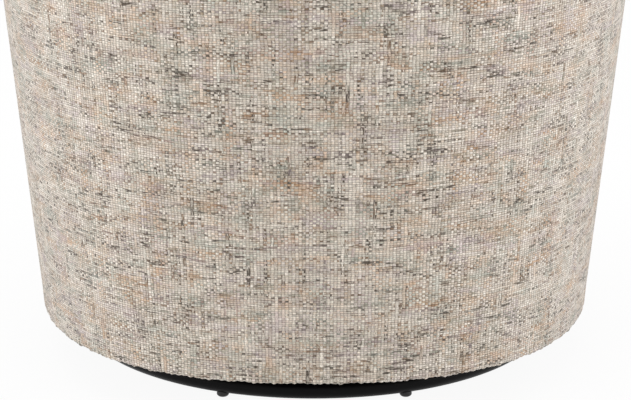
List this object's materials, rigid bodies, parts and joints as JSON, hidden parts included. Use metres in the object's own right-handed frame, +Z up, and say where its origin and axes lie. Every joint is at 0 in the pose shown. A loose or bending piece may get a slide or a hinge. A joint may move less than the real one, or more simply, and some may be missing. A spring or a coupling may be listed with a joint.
{
  "type": "swivel rocker chair",
  "caption": "Round tapered barrel chair in tweed with a loose seat cushion, that turns and rocks on a low black ring base.",
  "frame": {"origin": "on the floor, midway between the front of the seat cushion and the back of the rim, in the middle of the width; the swivel axis is at y = -0.0372", "axes": "+Z up, +Y towards the back of the chair, +X towards the sitter's left"},
  "size_m": [0.7198, 0.7656, 0.7587],
  "materials": {
    "tweed": "coarse woven tweed of cream, grey-blue, brown, rust and near-black yarns, matte",
    "black_metal": "satin black powder coat",
    "black_nylon": "moulded satin black",
    "zinc_steel": "zinc plated",
    "spring_steel": "oil tempered, dark",
    "nylon": "moulded natural nylon",
    "rubber": "moulded black rubber",
    "wood": "raw hardwood and plywood",
    "black_cloth": "thin non-woven cloth"
  },
  "bodies": {
    "base": {"base_ring": "black_metal", "floor_glide_1": "black_nylon", "floor_glide_2": "black_nylon", "floor_glide_3": "black_nylon", "floor_glide_4": "black_nylon", "floor_glide_5": "black_nylon", "floor_glide_6": "black_nylon", "floor_glide_7": "black_nylon", "floor_glide_8": "black_nylon", "base_arm_1": "black_metal", "base_arm_2": "black_metal", "base_arm_3": "black_metal", "base_arm_4": "black_metal", "hub_plate": "black_metal", "lower_race": "zinc_steel", "centre_bolt": "zinc_steel", "lock_nut": "zinc_steel"},
    "ball_cage": {"ball_cage": "nylon"},
    "swivel": {"upper_race": "zinc_steel", "swivel_cradle": "black_metal", "pivot_bush_left": "nylon", "pivot_bush_right": "nylon", "pivot_rivet_left": "zinc_steel", "pivot_rivet_right": "zinc_steel", "bump_stop_back": "rubber", "bump_stop_front": "rubber", "coil_spring_back_left": "spring_steel", "coil_spring_back_right": "spring_steel", "coil_spring_front_right": "spring_steel", "coil_spring_front_left": "spring_steel"},
    "seat": {"rocker_plate": "black_metal", "cross_rail_left": "wood", "cross_rail_right": "wood", "mount_bolt_1": "zinc_steel", "mount_bolt_2": "zinc_steel", "mount_bolt_3": "zinc_steel", "mount_bolt_4": "zinc_steel", "bottom_frame": "wood", "seat_frame": "wood", "top_rail": "wood", "front_rail": "wood", "arm_post_left": "wood", "arm_post_right": "wood", "back_post_left": "wood", "back_post_right": "wood", "back_post_middle": "wood", "front_post_right": "wood", "front_post_left": "wood", "seat_wire_1": "spring_steel", "seat_wire_2": "spring_steel", "seat_wire_3": "spring_steel", "seat_wire_4": "spring_steel", "dust_cover": "black_cloth", "deck_pad": "tweed", "outer_cover": "tweed", "front_cover": "tweed", "inner_pad": "tweed", "arm_facing_left": "tweed", "arm_facing_right": "tweed"},
    "cushion": {"seat_cushion": "tweed"}
  },
  "joints": [
    {"name": "swivel_turn", "type": "hinge", "parent": "base", "child": "swivel", "pos_m": [0, -0.03721, 0.035], "axis": [0, 0, 1], "continuous": true},
    {"name": "cage_turn", "type": "hinge", "parent": "base", "child": "ball_cage", "pos_m": [0, -0.03721, 0.035], "axis": [0, 0, 1], "continuous": true},
    {"name": "rock", "type": "hinge", "parent": "swivel", "child": "seat", "pos_m": [0, -0.03721, 0.0798], "axis": [1, 0, 0], "range_deg": [-6, 6], "stiffness_Nm_per_rad": 420, "deforming": ["coil_spring_back_left", "coil_spring_back_right", "coil_spring_front_right", "coil_spring_front_left"]},
    {"name": "cushion_lift", "type": "slide", "parent": "seat", "child": "cushion", "axis": [0, 0, 1], "range_m": [0, 0.25]}
  ],
  "couplings": [
    {"joint": "cage_turn", "follows": "swivel_turn", "ratio": 0.5}
  ]
}
